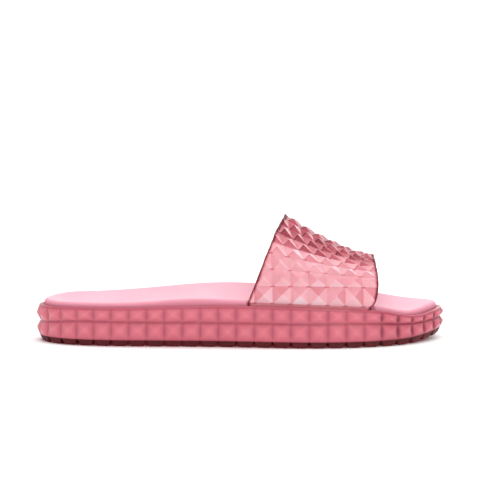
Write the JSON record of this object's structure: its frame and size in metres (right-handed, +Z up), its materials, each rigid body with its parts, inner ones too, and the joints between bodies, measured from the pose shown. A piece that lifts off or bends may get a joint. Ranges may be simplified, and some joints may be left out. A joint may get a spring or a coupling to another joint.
{
  "type": "jelly sandal",
  "caption": "Right jelly slide sandal: studded translucent sole cup, contoured foam footbed and one broad studded strap over the instep, open at toe and heel.",
  "frame": {"origin": "middle of the sandal in plan, on the floor that it stands on", "axes": "+X from heel to toe, +Y to the medial side of the foot, +Z up"},
  "size_m": [0.2614, 0.0906, 0.0784],
  "materials": {
    "sole_jelly": "soft moulded plastic, translucent rose, glossy",
    "footbed_foam": "closed foam, pale pink, matte",
    "strap_jelly": "soft moulded plastic, translucent rose, glossy"
  },
  "bodies": {
    "root": {"sole": "sole_jelly", "footbed": "footbed_foam", "strap": "strap_jelly"}
  },
  "joints": []
}
